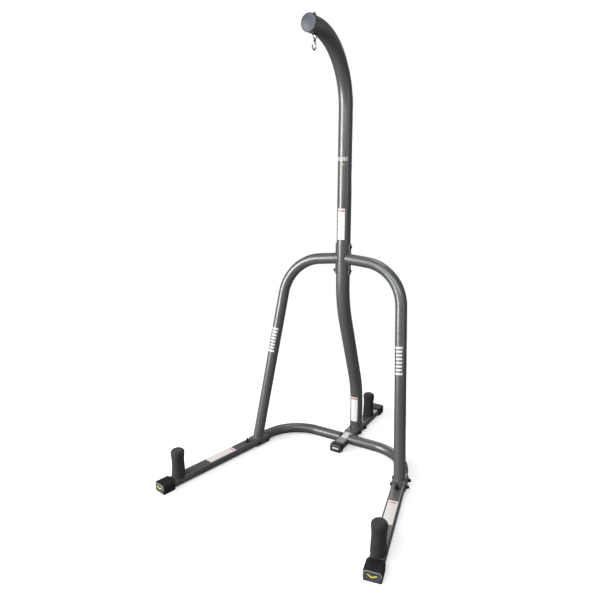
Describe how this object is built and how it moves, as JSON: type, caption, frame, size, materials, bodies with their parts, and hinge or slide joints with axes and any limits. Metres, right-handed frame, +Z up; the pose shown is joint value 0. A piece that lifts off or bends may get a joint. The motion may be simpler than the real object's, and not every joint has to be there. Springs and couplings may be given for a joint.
{
  "type": "heavy bag stand",
  "caption": "Free-standing stand for a hanging punching bag: gooseneck mast, arched brace, bolted splayed legs, foam-covered weight-plate pegs and a swinging bag hook.",
  "frame": {"origin": "on the floor, under the middle of the stand's outline seen from above", "axes": "+Z up; -Y to the front, the side on which the bag hangs; +X to the stand's right leg as seen from the front in the usual view, so left and right in the node names are -X and +X"},
  "size_m": [1.1484, 1.371, 2.1063],
  "materials": {
    "frame": "charcoal grey powder coat, semi-gloss",
    "foot_cap": "moulded black rubber, satin",
    "tip_plug": "grey moulded plastic, satin",
    "foam": "black closed-cell foam, matt",
    "fastener": "black oxide steel, satin",
    "zinc": "bright zinc plate"
  },
  "bodies": {
    "stand": {"upper_mast": "frame", "lower_mast": "frame", "mast_tip_cap": "tip_plug", "mast_bracket": "frame", "left_arch": "frame", "right_arch": "frame", "left_arch_foot": "frame", "right_arch_foot": "frame", "mast_foot": "frame", "centre_tube": "frame", "left_crossbar": "frame", "right_crossbar": "frame", "rear_spigot": "frame", "left_leg": "frame", "right_leg": "frame", "rear_leg": "frame", "left_foot_cap": "foot_cap", "right_foot_cap": "foot_cap", "rear_foot_cap": "foot_cap", "centre_foot_cap": "foot_cap", "left_peg": "frame", "right_peg": "frame", "rear_peg": "frame", "mast_bolts": "fastener", "arch_foot_bolts": "fastener", "leg_bolts": "fastener", "mast_foot_bolts": "fastener", "bolt_washers": "fastener", "bolt_nuts": "fastener", "eye_bolt": "zinc", "eye_saddle_washers": "fastener", "eye_bolt_nut": "fastener"},
    "hook": {"bag_hook": "zinc"},
    "left_sleeve": {"left_foam_sleeve": "foam"},
    "right_sleeve": {"right_foam_sleeve": "foam"},
    "rear_sleeve": {"rear_foam_sleeve": "foam"}
  },
  "joints": [
    {"name": "hook_swing", "type": "hinge", "parent": "stand", "child": "hook", "pos_m": [0, -0.17479, 2.00426], "axis": [1, 0, 0], "range_deg": [-70, 70]},
    {"name": "left_sleeve_slide", "type": "slide", "parent": "stand", "child": "left_sleeve", "axis": [0, 0, 1], "range_m": [0, 0.125]},
    {"name": "right_sleeve_slide", "type": "slide", "parent": "stand", "child": "right_sleeve", "axis": [0, 0, 1], "range_m": [0, 0.125]},
    {"name": "rear_sleeve_slide", "type": "slide", "parent": "stand", "child": "rear_sleeve", "axis": [0, 0, 1], "range_m": [0, 0.125]}
  ]
}
